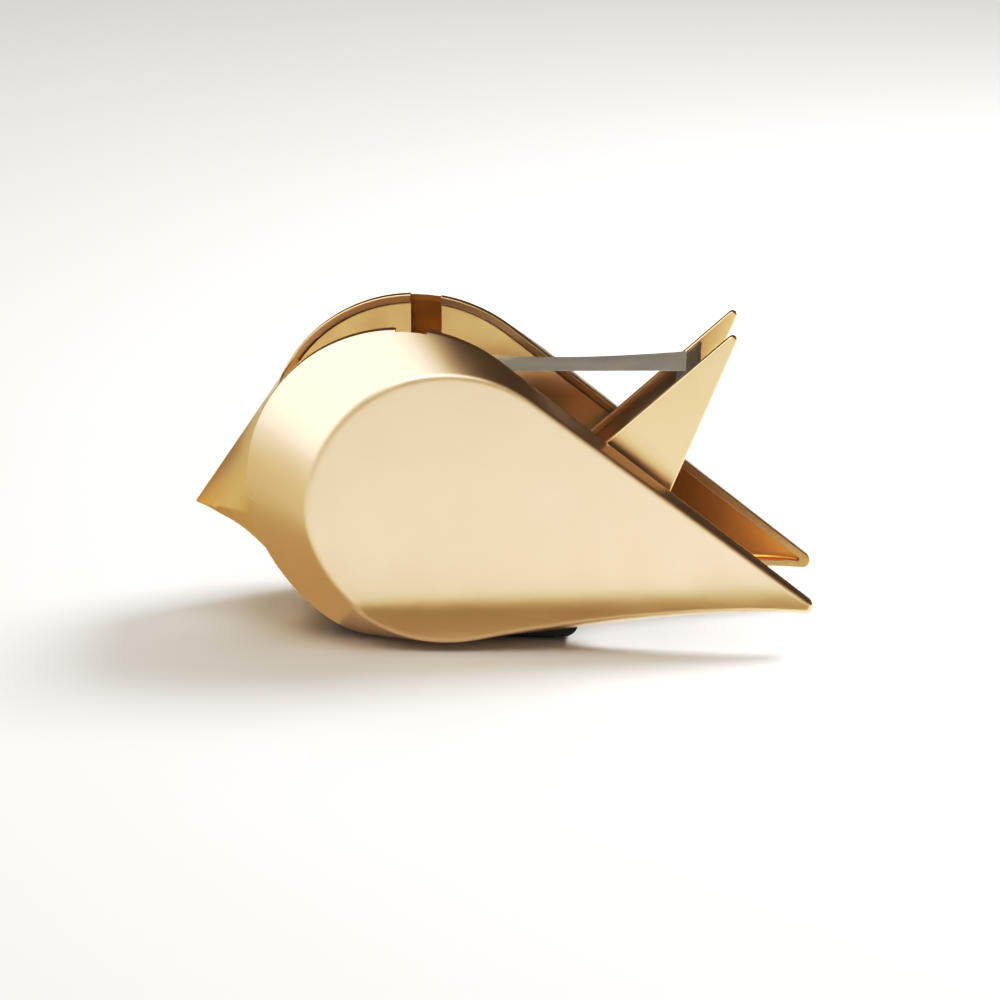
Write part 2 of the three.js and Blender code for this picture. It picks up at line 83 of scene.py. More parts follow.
ARCH_PULL, ARCH_DIP = 0.28, 0.02
PLATE_OUT_Y = 20.3
AXLE = (2.5, 54.7)
NOTCH_HALF, NOTCH_END_Y = 4.3, 19.9
NOTCH_ABOVE, NOTCH_BELOW = 4, 6
CAP_SCREWS = ((-22.0, 34.0), (46.0, 24.0))
POST_R, HOLE_R = 3.4, 1.6
CAP_SCREW_LENGTH = 4.6

BEAK_TOP_ANGLE = 145.1 * DEG
BEAK_TIP_ANGLE = 197 * DEG
BEAK_TIP = (-61.1, 32.2)
BEAK_JAW = ((-51.0, 30.3), (-46.5, 25.6), (-37.5, 16.2))
BEAK_WALL, BEAK_INSET = 3.0, 0.6
# where the beak's painted orange reflection begins, growing towards the tip
BEAK_PAINTED_REFLECTION_X = -49.0
RIDGE_ROUNDING, RIDGE_ZONE = 0.05, 0.16

TAPE_WIDTH = 19.0
TAPE_THICKNESS = 0.12
ROLL_R, ROLL_CHAMFER = 19.5, 0.12
WINDING_PITCH, WINDING_WIDTH, WINDING_STEP, WINDING_SEED = 0.22, 0.17, 0.05, 7
CORE_IN, CORE_OUT, CORE_CHAMFER = 12.7, 14.3, 0.25
HUB_R, HUB_HALF, STUB_R, STUB_END_Y = 12.3, 10.4, 4.0, 19.6
HUB_CHAMFER, HUB_DISH, HUB_CENTRE = 0.6, 2.2, 0.01
FIN_FRONT = (54.3, 56.7, 42.9 * DEG)
LEADER_START, LEADER_LEAVE = 112 * DEG, 91.3 * DEG
LEADER_END_Z, LEADER_END_DEPTH = 76.0, 0.2
LEADER_ACROSS = 13
LEADER_SAG, FAR_EDGE_SAG, FAR_EDGE_POWER = 0.15, 1.6, 1.5

# ---- how finely the outlines are divided ----
FINENESS = 3

BODY_OF = {
    node: body
    for body, nodes in frame["record"]["behaviour"]["bodies"].items()
    for node in nodes
}


# ---- mesh helpers ----
def baked(obj):
    """Replaces an object's mesh with what its modifiers make of it."""
    depsgraph = bpy.context.evaluated_depsgraph_get()
    mesh = bpy.data.meshes.new_from_object(obj.evaluated_get(depsgraph))
    obj.modifiers.clear()
    obj.data = mesh
    return obj


def smoothed(obj, angle):
    """Smooth shading with the edges above an angle kept sharp."""
    mesh = obj.data
    mesh.polygons.foreach_set("use_smooth", [True] * len(mesh.polygons))
    mesh.set_sharp_from_angle(angle=angle * DEG)
    return obj


def flattened(obj):
    """Weights the normals by area, so that flat faces stay flat beside rounded edges."""
    weighted = obj.modifiers.new("weighted", "WEIGHTED_NORMAL")
    weighted.keep_sharp = True
    weighted.weight = 100
    return baked(obj)


def made(name, points, faces):
    """An object from points in millimetres."""
    mesh = bpy.data.meshes.new(name)
    mesh.from_pydata([tuple(float(c) * MM for c in p) for p in points], [], faces)
    shape = bmesh.new()
    shape.from_mesh(mesh)
    bmesh.ops.remove_doubles(shape, verts=shape.verts, dist=1e-7)
    bmesh.ops.dissolve_degenerate(shape, edges=shape.edges, dist=1e-7)
    bmesh.ops.recalc_face_normals(shape, faces=shape.faces)
    shape.to_mesh(mesh)
    shape.free()
    mesh.materials.clear()
    obj = bpy.data.objects.new(name, mesh)
    bpy.context.scene.collection.objects.link(obj)
    return obj


def skinned(name, rings, closed=False):
    """Joins rings of equal length, with a face over the first and the last unless closed."""
    count = len(rings[0])
    points = np.concatenate(rings)
    faces = []
    spans = len(rings) if closed else len(rings) - 1
    for r in range(spans):
        low, high = r * count, ((r + 1) % len(rings)) * count
        for i in range(count):
            j = (i + 1) % count
            faces.append((low + i, low + j, high + j, high + i))
    if not closed:
        faces.append(tuple(range(count)))
        faces.append(tuple(range(len(points) - count, len(points))))
    return made(name, points, faces)


def bevelled(obj, width, segments, angle=35, keep=40):
    """Rounds the edges above an angle, by a width in millimetres."""
    bevel = obj.modifiers.new("bevel", "BEVEL")
    bevel.width = width * MM
    bevel.segments = segments
    bevel.limit_method = "ANGLE"
    bevel.angle_limit = angle * DEG
    bevel.use_clamp_overlap = True
    return flattened(smoothed(baked(obj), keep))


def combined(obj, tool, operation):
    """A boolean with another object, which is used up."""
    modifier = obj.modifiers.new("boolean", "BOOLEAN")
    modifier.object = tool
    modifier.operation = operation
    modifier.solver = "EXACT"
    baked(obj)
    bpy.data.objects.remove(tool)
    return obj


def ring_y(x, z, radius, y, sides):
    """A ring of points about an axis along Y."""
    angles = np.linspace(0, 2 * math.pi, sides, endpoint=False)
    across, up = x + radius * np.cos(angles), z + radius * np.sin(angles)
    return np.stack([across, np.full(sides, y), up], 1)


def turned(profile, steps):
    """The rings that a profile of (radius, y) makes about the axle."""
    return [ring_y(*AXLE, radius, y, steps) for radius, y in profile]


def rod_y(name, x, z, radius, y0, y1, sides=48):
    return skinned(name, [ring_y(x, z, radius, y, sides) for y in (y0, y1)])


def rectangle(u, v):
    """The corners of a rectangle, in order round it."""
    return (u[0], v[0]), (u[1], v[0]), (u[1], v[1]), (u[0], v[1])


# ---- teardrop outlines: arrays of (x, z) ----
def bezier(points, steps):
    t = np.linspace(0, 1, steps + 1)[:, None]
    a, b, c, d = (np.array(p, float) for p in points)
    return a * (1 - t) ** 3 + 3 * b * t * (1 - t) ** 2 + 3 * c * t**2 * (1 - t) + d * t**3


def segment(a, b, steps):
    t = np.linspace(0, 1, steps + 1)[:, None]
    return np.array(a) * (1 - t) + np.array(b) * t


def on_circle(circle, angle):
    return np.array(
        [circle[0] + circle[2] * math.cos(angle), circle[1] + circle[2] * math.sin(angle)]
    )


def arc(circle, start, end, steps):
    angles = np.linspace(start, end, steps + 1)
    return np.stack(
        [circle[0] + circle[2] * np.cos(angles), circle[1] + circle[2] * np.sin(angles)], 1
    )


def inset_tail(head, tail, inset):
    """The tail circle moves towards the head where a wall would leave it no radius."""
    small = min(0.6, tail[2])
    if tail[2] - inset >= small:
        return (tail[0], tail[1], tail[2] - inset)
    along = (head[2] - inset - small) / (head[2] - tail[2])
    return (
        head[0] + along * (tail[0] - head[0]),
        head[1] + along * (tail[1] - head[1]),
        small,
    )


def rim_belly(head, inset):
    floor = WING_FLAT_Z + inset
    chin = on_circle(head, CHIN_ANGLE)
    tangent = np.array([-math.sin(CHIN_ANGLE), math.cos(CHIN_ANGLE)])
    flat_end = np.array([WING_FLAT_X[0] + 0.4 * inset, floor])
    start = np.array([WING_FLAT_X[1], floor])
    rise = bezier([flat_end, flat_end - (13, 0), chin + CHIN_PULL * tangent, chin], 10 * FINENESS)
    return start, 0.1, np.concatenate([segment(start, flat_end, 3 * FINENESS)[:-1], rise])


def face_belly(head, inset):
    return (
        on_circle(head, BELLY_ANGLE),
        BELLY_SLOPE,
        arc(head, BELLY_ANGLE, CHIN_ANGLE, 13 * FINENESS),
    )


def outline(head_circle, tail_circle, inset, belly):
    head = (head_circle[0], head_circle[1], head_circle[2] - inset)
    tail = inset_tail(head_circle, tail_circle, inset)
    dx, dz = tail[0] - head[0], tail[1] - head[1]
    back = math.atan2(dz, dx) + math.acos((head[2] - tail[2]) / math.hypot(dx, dz))
    start, slope, front = belly(head, inset)
    under = on_circle(tail, UNDERTAIL_ANGLE)
    reach = under[0] - start[0]
    arch = bezier(
        [
            under,
            under + (-ARCH_PULL * reach, ARCH_DIP * reach),
            start + (ARCH_PULL * reach, ARCH_PULL * reach * slope),
            start,
        ],
        14 * FINENESS,
    )
    stretches = [
        front,
        arc(head, CHIN_ANGLE, back, 30 * FINENESS),
        segment(on_circle(head, back), on_circle(tail, back), 8 * FINENESS),
        arc(tail, back, UNDERTAIL_ANGLE, 6 * FINENESS),
        arch,
    ]
    return np.concatenate([s[:-1] for s in stretches])


def rim_outline(inset):
    return outline(HEAD, TAIL, inset, rim_belly)


def face_outline(inset):
    return outline(FACE_HEAD, FACE_TAIL, inset, face_belly)


def face_depth(x):
    return TIP_DEPTH + FACE_TILT * (TAIL[0] - x)


def lip_depth(x):
    return LIP_TIP + LIP_TILT * (TAIL[0] - x)


def hollow_depth(x):
    return np.maximum(face_depth(x) - FACE_WALL, 0.8)


def shelf_depth(x):
    return np.minimum(PLATE_OUT_Y + GAP - RIM_Y, 0.85 * hollow_depth(x))


def no_depth(x):
    return 0 * x


# ---- wing caps ----
def wing_ring(points, depth, side):
    x, z = points[:, 0], points[:, 1]
    return np.stack([x, side * (RIM_Y + depth(x)), z], 1)


def towards(a, b, distance):
    """Points at a distance from ring a on the way to ring b, at most 45% of the way."""
    length = np.linalg.norm(b - a, axis=1, keepdims=True)
    return a + (b - a) * np.minimum(distance / length, 0.45)


def curved(start, corner, end, steps):
    """Rings along the curve from start to end that is drawn towards a corner ring."""
    rings = []
    for i in range(steps + 1):
        t = i / steps
        rings.append(start * (1 - t) ** 2 + corner * 2 * t * (1 - t) + end * t**2)
    return rings


def filleted(corner, before, after, radius, support):
    """Rounds one corner ring between its neighbours, with a supporting ring on either side."""
    start, end = towards(corner, before, radius), towards(corner, after, radius)
    return [
        towards(corner, before, radius + support),
        *curved(start, corner, end, FILLET_STEPS),
        towards(corner, after, radius + support),
    ]


def wing_cap(node, side):
    edge = wing_ring(face_outline(0), face_depth, side)
    flat = wing_ring(face_outline(FACE_ROUNDING), face_depth, side)
    crease = wing_ring(rim_outline(0), lip_depth, side)
    rim = wing_ring(rim_outline(0), no_depth, side)
    inner_rim = wing_ring(rim_outline(WALL), no_depth, side)
    shelf = wing_ring(rim_outline(WALL), shelf_depth, side)
    roof = wing_ring(face_outline(WALL), hollow_depth, side)
    band_end = towards(edge, crease, FACE_ROUNDING)
    rings = [
        wing_ring(face_outline(FACE_ROUNDING + support), face_depth, side)
        for support in FACE_SUPPORTS
    ]
    rings += curved(flat, edge, band_end, FACE_STEPS)
    rings.append(towards(edge, crease, FACE_ROUNDING + BAND_SUPPORT))
    rings += [of_edge * edge + of_crease * crease for of_edge, of_crease in BAND_SHARES]
    rings += filleted(crease, edge, rim, CREASE_ROUNDING, BAND_SUPPORT)
    rings += filleted(rim, crease, inner_rim, LIP_ROUNDING, LIP_SUPPORT)
    rings += filleted(inner_rim, rim, shelf, LIP_ROUNDING, LIP_SUPPORT)
    rings.append(shelf)
    rings.append(0.5 * shelf + 0.5 * roof)
    rings.append(roof)
    wing = skinned(node, rings)
    top = HEAD[1] + HEAD[2]
    for x, z in CAP_SCREWS:
        post_end = RIM_Y + float(face_depth(x)) - 0.5 * FACE_WALL
        hole_end = PLATE_OUT_Y + CAP_SCREW_LENGTH
        post = rod_y("post", x, z, POST_R, side * (PLATE_OUT_Y + GAP), side * post_end)
        combined(wing, post, "UNION")
        hole = rod_y("hole", x, z, HOLE_R, side * PLATE_OUT_Y, side * hole_end)
        combined(wing, hole, "DIFFERENCE")
    corners = [
        (AXLE[0] - NOTCH_HALF, top + NOTCH_ABOVE),
        (AXLE[0] - NOTCH_HALF, top - NOTCH_BELOW),
        (AXLE[0] + NOTCH_HALF, top - NOTCH_BELOW),
        (AXLE[0] + NOTCH_HALF, top + NOTCH_ABOVE),
    ]
    notch = skinned(
        "notch",
        [
            np.array([(x, side * y, z) for x, z in corners])
            for y in (RIM_Y - 1, NOTCH_END_Y)
        ],
    )
    combined(wing, notch, "DIFFERENCE")
    wing_finishes(wing.data, side)
    return smoothed(wing, 32)


# How far inwards a face of the rim or the hollow looks, and the depth that parts the two.
RIM_FACING, RIM_DEPTH = 0.8, 0.1
HOLLOW_FACING, HOLLOW_WALL_FACING = 0.3, -0.2


def wing_finishes(mesh, side):
    """Material 0 for the shell, 1 for the hollow inside it, whose deep orange is painted shade, and
    2 for the flat rim round that, which darkens towards the tail as a painted reflection.
    """
    head, tail = np.array(HEAD[:2]), np.array(TAIL[:2])
    spine = tail - head
    for polygon in mesh.polygons:
        x, y, z = (c / MM for c in polygon.center)
        depth = side * y - RIM_Y
        inward = -side * polygon.normal.y
        along = np.clip(np.dot((x, z) - head, spine) / np.dot(spine, spine), 0, 1)
        outward = np.dot((polygon.normal.x, polygon.normal.z), (x, z) - (head + along * spine))
        on_hollow = inward > HOLLOW_FACING or (outward < 0 and inward > HOLLOW_WALL_FACING)
        if inward > RIM_FACING and depth < RIM_DEPTH:
            polygon.material_index = 2
        elif depth > RIM_DEPTH and on_hollow:
            polygon.material_index = 1


# ---- beak ----
def beak(node):
    throat = (HEAD[0], HEAD[1], HEAD[2] - BEAK_INSET)
    top = on_circle(HEAD, BEAK_TOP_ANGLE)
    tip = np.array(BEAK_TIP)
    upper, lower = 9 * FINENESS, 6 * FINENESS
    sections = []
    for i in range(upper + 1):
        t = i / upper
        angle = BEAK_TOP_ANGLE + t * (BEAK_TIP_ANGLE - BEAK_TOP_ANGLE)
        sections.append((top * (1 - t) + tip * t, on_circle(throat, angle)))
    chin = rim_belly(throat, BEAK_INSET)[2][::-1][: 5 * FINENESS + 1]
    jaw = bezier([tip, *BEAK_JAW], lower)
    for i in range(1, lower + 1):
        place = (i - 1) / (lower - 1) * (len(chin) - 1)
        k = min(int(place), len(chin) - 2)
        wall = chin[k] + (chin[k + 1] - chin[k]) * (place - k)
        sections.append((jaw[i], wall))
    near_ridge = np.linspace(0, RIDGE_ZONE, 9)[:-1]
    one_side = np.concatenate([near_ridge, np.linspace(RIDGE_ZONE, 1, 15)])
    stations = np.concatenate([-one_side[::-1], one_side[1:]])
    half = RIM_Y - GAP
    end = math.hypot(1, RIDGE_ROUNDING)
    blend = (end - np.hypot(stations, RIDGE_ROUNDING)) / (end - RIDGE_ROUNDING)
    rings = []
    for ridge, wall in sections:
        inward = np.array(HEAD[:2]) - wall
        inward = inward / np.linalg.norm(inward) * BEAK_WALL
        line = wall + (ridge - wall) * blend[:, None]
        outside = np.stack([line[:, 0], stations * half, line[:, 1]], 1)
        inside = outside[::-1] + (inward[0], 0, inward[1])
        rings.append(np.concatenate([outside, inside]))
    return bevelled(skinned(node, rings), 0.3, 3, angle=50)


# ---- pieces refined from their CAD node ----
def refined(node, width, segments=3, angle=30, keep=38):
    """The CAD node's own mesh with clean faces and rounded edges."""
    mesh = frame["nodes"][node].data.copy()
    mesh.materials.clear()
    shape = bmesh.new()
    shape.from_mesh(mesh)
    bmesh.ops.remove_doubles(shape, verts=shape.verts, dist=2e-6)
    bmesh.ops.dissolve_limit(
        shape, angle_limit=0.6 * DEG, verts=shape.verts, edges=shape.edges
    )
    bmesh.ops.recalc_face_normals(shape, faces=shape.faces)
    shape.to_mesh(mesh)
    shape.free()
    obj = bpy.data.objects.new(f"{node}_fine", mesh)
    bpy.context.scene.collection.objects.link(obj)
    return bevelled(obj, width, segments, angle, keep)


# ---- roll, core, hub and tape ----
def tape_roll(node):
    """The windings show on the side faces as fine steps."""
    rng = np.random.default_rng(WINDING_SEED)
    half = TAPE_WIDTH / 2
    inner = CORE_OUT + GAP
    radii = np.arange(inner, ROLL_R - ROLL_CHAMFER, WINDING_PITCH)
    steps = WINDING_STEP * rng.random(len(radii))
    right = []
    for radius, step in zip(radii, steps):
        right += [(radius, -half + step), (radius + WINDING_WIDTH, -half + step)]
    left = [(radius, -y) for radius, y in right][::-1]
    outer = [(ROLL_R, -half + ROLL_CHAMFER), (ROLL_R, half - ROLL_CHAMFER)]
    return smoothed(skinned(node, turned(right + outer + left, 128), closed=True), 30)


def tape_core(node):
    half = TAPE_WIDTH / 2
    profile = [
        (CORE_IN, -half + CORE_CHAMFER),
        (CORE_IN + CORE_CHAMFER, -half),
        (CORE_OUT - CORE_CHAMFER, -half),
        (CORE_OUT, -half + CORE_CHAMFER),
        (CORE_OUT, half - CORE_CHAMFER),
        (CORE_OUT - CORE_CHAMFER, half),
        (CORE_IN + CORE_CHAMFER, half),
        (CORE_IN, half - CORE_CHAMFER),
    ]
    ring = skinned(node, turned(profile, 96), closed=True)
    return smoothed(bevelled(ring, 0.06, 2), 50)


def hub_spool(node):
    dish = HUB_HALF - HUB_DISH
    half = [
        (HUB_CENTRE, STUB_END_Y),
        (STUB_R - HUB_CHAMFER, STUB_END_Y),
        (STUB_R, STUB_END_Y - HUB_CHAMFER),
        (STUB_R, dish),
        (HUB_R - 2, dish),
        (HUB_R - 1.4, HUB_HALF),
        (HUB_R - 0.5, HUB_HALF),
        (HUB_R, HUB_HALF - HUB_CHAMFER),
    ]
    other_half = [(radius, -y) for radius, y in half[::-1]]
    return bevelled(skinned(node, turned(half + other_half, 72)), 0.25, 3, angle=25, keep=30)


def fin_line_x(line, z):
    return line[0] + (z - line[1]) / math.tan(line[2])


def tape_leader(node):
    """A thin strip from the top of the roll to the blade; its far edge hangs a little lower."""
    low = ROLL_R + GAP
    over = arc((*AXLE, low), LEADER_START, LEADER_LEAVE, 8)
    end_x = fin_line_x(FIN_FRONT, LEADER_END_Z) + LEADER_END_DEPTH / math.sin(FIN_FRONT[2])
    run = segment(over[-1], (end_x, LEADER_END_Z), 28)[1:]
    line = np.concatenate([over, run])
    share = np.clip((line[:, 0] - over[-1][0]) / (end_x - over[-1][0]), 0, 1)
    half = TAPE_WIDTH / 2
    across = np.linspace(-half, half, LEADER_ACROSS)
    full_sag = LEADER_SAG + FAR_EDGE_SAG * np.clip(across / half, 0, 1) ** FAR_EDGE_POWER
    rings = []
    for (x, z), s in zip(line, share):
        sag = np.sin(math.pi * s) * full_sag
        under = np.stack([np.full(LEADER_ACROSS, x), across, z + TAPE_THICKNESS - sag], 1)
        rings.append(np.concatenate([under, under[::-1] + (0, 0, TAPE_THICKNESS)]))
    return smoothed(skinned(node, rings), 40)


# ---- material nodes ----
def add(tree, kind, inputs=None, **settings):
    node = tree.nodes.new(kind)
    for key, value in settings.items():
        setattr(node, key, value)
    for key, value in (inputs or {}).items():
        socket = node.inputs[key]
        if isinstance(value, bpy.types.NodeSocket):
            tree.links.new(value, socket)
        else:
            socket.default_value = value
    return node


def noise(tree, place, scale, detail=3.0, roughness=0.55):
    inputs = {"Vector": place, "Scale": scale, "Detail": detail, "Roughness": roughness}
    return add(tree, "ShaderNodeTexNoise", inputs).outputs["Fac"]


def remap(tree, value, low, high, to_low, to_high):
    inputs = {
        "Value": value, "From Min": low, "From Max": high, "To Min": to_low, "To Max": to_high
    }
    return add(tree, "ShaderNodeMapRange", inputs).outputs["Result"]


def mixed(tree, factor, a, b):
    node = add(tree, "ShaderNodeMix", data_type="RGBA")
    for index, value in ((0, factor), (6, a), (7, b)):
        if isinstance(value, bpy.types.NodeSocket):
            tree.links.new(value, node.inputs[index])
        else:
            node.inputs[index].default_value = value
    return node.outputs[2]


def sums(tree, a, b, operation="ADD"):
    return add(tree, "ShaderNodeMath", {0: a, 1: b}, operation=operation).outputs[0]


def bumped(tree, height, strength, distance, normal=None):
    inputs = {"Height": height, "Strength": strength, "Distance": distance * MM}
    if normal is not None:
        inputs["Normal"] = normal
    return add(tree, "ShaderNodeBump", inputs).outputs["Normal"]


def rgb(r, g, b):
    return (r, g, b, 1.0)


def stretched(tree, place, scale):
    return add(tree, "ShaderNodeMapping", {"Vector": place, "Scale": scale}).outputs["Vector"]


def new_material(name):
    material = bpy.data.materials.new(name)
    material.use_nodes = True
    tree = material.node_tree
    tree.nodes.clear()
    out = add(tree, "ShaderNodeOutputMaterial")
    shader = add(tree, "ShaderNodeBsdfPrincipled")
    tree.links.new(shader.outputs[0], out.inputs[0])
    place = add(tree, "ShaderNodeTexCoord").outputs["Object"]
    return material, tree, shader, place


def connect(tree, shader, **inputs):
    for key, value in inputs.items():
        tree.links.new(value, shader.inputs[key.replace("_", " ")])


def constants(shader, **values):
    for key, value in values.items():
        shader.inputs[key.replace("_", " ")].default_value = value


NOISE_LOW, NOISE_HIGH = 0.3, 0.7
WORN_FROM, WORN_FULL = 0.54, 0.63


def spread(tree, fac, to_low, to_high):
    """Takes the range that most of a noise covers to another range."""
    return remap(tree, fac, NOISE_LOW, NOISE_HIGH, to_low, to_high)


def edges(tree):
    """1 on worn convex edges, 0 elsewhere."""
    pointiness = add(tree, "ShaderNodeNewGeometry").outputs["Pointiness"]
    return remap(tree, pointiness, WORN_FROM, WORN_FULL, 0.0, 1.0)


def satin_metal(name, light, deep, edge, roughness, painted_turn=None):
    """Satin metallic paint. The optional last argument is (x, x, colour): the paint takes on that
    colour between the two x, as a painted reflection.
    """
    material, tree, shader, place = new_material(name)
    cloud = noise(tree, place, 28, 2.0)
    fleck = noise(tree, place, 2600, 1.0)
    colour = mixed(tree, spread(tree, cloud, 0.0, 1.0), light, deep)
    # painted reflection: the base colour shifts along X to the given colour
    if painted_turn:
        start, end, painted_tint = painted_turn
        along = add(tree, "ShaderNodeSeparateXYZ", {0: place}).outputs["X"]
        share = remap(tree, along, start * MM, end * MM, 0.0, 1.0)
        colour = mixed(tree, share, colour, painted_tint)
    dark = tuple(0.93 * c for c in deep[:3]) + (1.0,)
    colour = mixed(tree, remap(tree, fleck, 0.35, 0.75, 0.0, 0.22), colour, dark)
    worn = edges(tree)
    colour = mixed(tree, sums(tree, worn, 0.55, "MULTIPLY"), colour, edge)
    haze = noise(tree, place, 75, 4.0, 0.6)
    gloss = spread(tree, haze, roughness - 0.035, roughness + 0.045)
    gloss = sums(tree, gloss, sums(tree, worn, 0.06, "MULTIPLY"), "SUBTRACT")
    fine = bumped(tree, noise(tree, place, 3800, 2.0), 0.16, 0.012)
    peel = bumped(tree, noise(tree, place, 240, 2.0), 0.05, 0.03, fine)
    connect(tree, shader, Base_Color=colour, Roughness=gloss, Normal=peel)
    constants(shader, Metallic=1.0)
    return material


def brushed_metal(name, light, deep, roughness, along):
    material, tree, shader, place = new_material(name)
    lines = noise(tree, stretched(tree, place, along), 1.0, 4.0, 0.65)
    cloud = noise(tree, place, 160, 3.0)
    colour = mixed(tree, spread(tree, lines, 0.0, 1.0), deep, light)
    colour = mixed(tree, sums(tree, edges(tree), 0.5, "MULTIPLY"), colour, rgb(0.8, 0.8, 0.78))
    gloss = spread(tree, cloud, roughness - 0.06, roughness + 0.08)
    normal = bumped(tree, lines, 0.2, 0.02)
    connect(tree, shader, Base_Color=colour, Roughness=gloss, Normal=normal)
    constants(shader, Metallic=1.0)
    return material


def moulded(name, light, deep, roughness, grain_scale, grain_depth, wear):
    material, tree, shader, place = new_material(name)
    cloud = noise(tree, place, 40, 3.0)
    grain = noise(tree, place, grain_scale, 4.0, 0.6)
    colour = mixed(tree, spread(tree, cloud, 0.0, 1.0), light, deep)
    colour = mixed(tree, sums(tree, edges(tree), 0.5, "MULTIPLY"), colour, wear)
    gloss = spread(tree, grain, roughness - 0.08, roughness + 0.08)
    normal = bumped(tree, grain, 0.35, grain_depth)
    connect(tree, shader, Base_Color=colour, Roughness=gloss, Normal=normal)
    constants(shader, Specular_IOR_Level=0.45)
    return material


def matte_tape(name):
    """Frosted film: a fine frost all over, rings on the side faces of the roll."""
    material, tree, shader, place = new_material(name)
    to_axle = (-AXLE[0] * MM, 0, -AXLE[1] * MM)
    about = add(tree, "ShaderNodeMapping", {"Vector": place, "Location": to_axle})
    flat = add(
        tree, "ShaderNodeVectorMath", {0: about.outputs[0], 1: (1, 0, 1)}, operation="MULTIPLY"
    )
    reach = add(tree, "ShaderNodeVectorMath", {0: flat.outputs[0]}, operation="LENGTH")
    along_radius = {"W": reach.outputs["Value"], "Scale": 5200.0, "Detail": 2.0}
    rings = add(tree, "ShaderNodeTexNoise", along_radius, noise_dimensions="1D").outputs["Fac"]
    frost = noise(tree, place, 1500, 3.0)
    cloud = noise(tree, place, 90, 2.0)
    light, deep, ringed = rgb(0.62, 0.62, 0.57), rgb(0.54, 0.54, 0.50), rgb(0.72, 0.72, 0.68)
    colour = mixed(tree, spread(tree, cloud, 0.0, 1.0), light, deep)
    colour = mixed(tree, remap(tree, rings, 0.4, 0.7, 0.0, 0.3), colour, ringed)
    gloss = spread(tree, frost, 0.42, 0.6)
    height = sums(tree, rings, frost)
    normal = bumped(tree, height, 0.25, 0.01)
    connect(tree, shader, Base_Color=colour, Roughness=gloss, Normal=normal)
    constants(shader, Transmission_Weight=0.25, IOR=1.46)
    return material


MATERIALS = {
    # the beak's yellower gold, orange towards the tip, is a painted warm reflection
    "gold_beak": satin_metal(
        "gold_beak", rgb(0.89, 0.71, 0.43), rgb(0.86, 0.67, 0.39), rgb(0.94, 0.80, 0.56), 0.33,
        painted_turn=(BEAK_PAINTED_REFLECTION_X, BEAK_TIP[0], rgb(0.88, 0.53, 0.19)),
    ),
    "gold_shell": satin_metal(
        "gold_shell", rgb(0.87, 0.695, 0.485), rgb(0.84, 0.655, 0.45), rgb(0.94, 0.83, 0.66), 0.33
    ),
    "gold_fin": satin_metal(
        "gold_fin", rgb(0.87, 0.675, 0.42), rgb(0.84, 0.635, 0.38), rgb(0.94, 0.81, 0.60), 0.33
    ),
    # the wing hollows' deep orange is painted shade
    "gold_recess": satin_metal(
        "gold_recess", rgb(0.78, 0.44, 0.14), rgb(0.72, 0.39, 0.11), rgb(0.86, 0.66, 0.38), 0.40
    ),
    # the rim's brown towards the tail is a painted dark reflection
    "gold_rim": satin_metal(
        "gold_rim", rgb(0.86, 0.68, 0.44), rgb(0.83, 0.64, 0.40), rgb(0.90, 0.74, 0.50), 0.35,
        painted_turn=(FACE_HEAD[0], TAIL[0], rgb(0.44, 0.31, 0.16)),
    ),
    "gold_inside": satin_metal(
        "gold_inside", rgb(0.86, 0.67, 0.39), rgb(0.82, 0.62, 0.34), rgb(0.94, 0.82, 0.60), 0.46
    ),
    # the ramp's dark brown is a painted dark reflection on the same gold paint
    "gold_ramp": satin_metal(
        "gold_ramp", rgb(0.42, 0.22, 0.09), rgb(0.36, 0.18, 0.07), rgb(0.80, 0.58, 0.32), 0.36
    ),
    "blade_steel": brushed_metal(
        "blade_steel", rgb(0.56, 0.55, 0.51), rgb(0.44, 0.43, 0.40), 0.34, (500, 60, 500)
    ),
    "screw_steel": brushed_metal(
        "screw_steel", rgb(0.5, 0.5, 0.48), rgb(0.38, 0.38, 0.37), 0.32, (900, 900, 900)
    ),
    "matte_tape": matte_tape("matte_tape"),
    "core_board": moulded(
        "core_board", rgb(0.80, 0.77, 0.70), rgb(0.74, 0.70, 0.62),
        0.62, 900, 0.03, rgb(0.85, 0.83, 0.78),
    ),
    "hub_plastic": moulded(
        "hub_plastic", rgb(0.72, 0.67, 0.56), rgb(0.67, 0.62, 0.50),
        0.42, 1400, 0.012, rgb(0.8, 0.77, 0.68),
    ),
    "pad_rubber": moulded(
        "pad_rubber", rgb(0.030, 0.029, 0.028), rgb(0.022, 0.021, 0.021),
        0.8, 1100, 0.05, rgb(0.06, 0.06, 0.06),
    ),
    "base_plastic": moulded(
        "base_plastic", rgb(0.030, 0.027, 0.024), rgb(0.022, 0.020, 0.018),
        0.5, 1800, 0.02, rgb(0.07, 0.065, 0.06),
    ),
    "ballast_iron": brushed_metal(
        "ballast_iron", rgb(0.20, 0.20, 0.21), rgb(0.13, 0.13, 0.135), 0.58, (300, 300, 300)
    ),
}
SLOT_OF = {
    "wing": "gold_shell", "tail_fin": "gold_shell", "beak": "gold_shell",
    "side_plate": "gold_inside", "tail_ramp": "gold_inside", "cradle": "gold_inside",
    "cutter": "blade_steel", "cap_screw": "screw_steel", "base_screw": "screw_steel",
    "tape_roll": "matte_tape", "tape_leader": "matte_tape", "tape_core": "core_board",
    "hub": "hub_plastic", "non_skid": "pad_rubber", "base_plate": "base_plastic",
    "ballast": "ballast_iron",
}
FINISH_OF = {
    "tail_ramp": "gold_ramp", "beak": "gold_beak",
    "tail_fin_right": "gold_fin", "tail_fin_left": "gold_fin",
}


def slot_of(node):
    return next(slot for prefix, slot in SLOT_OF.items() if node.startswith(prefix))


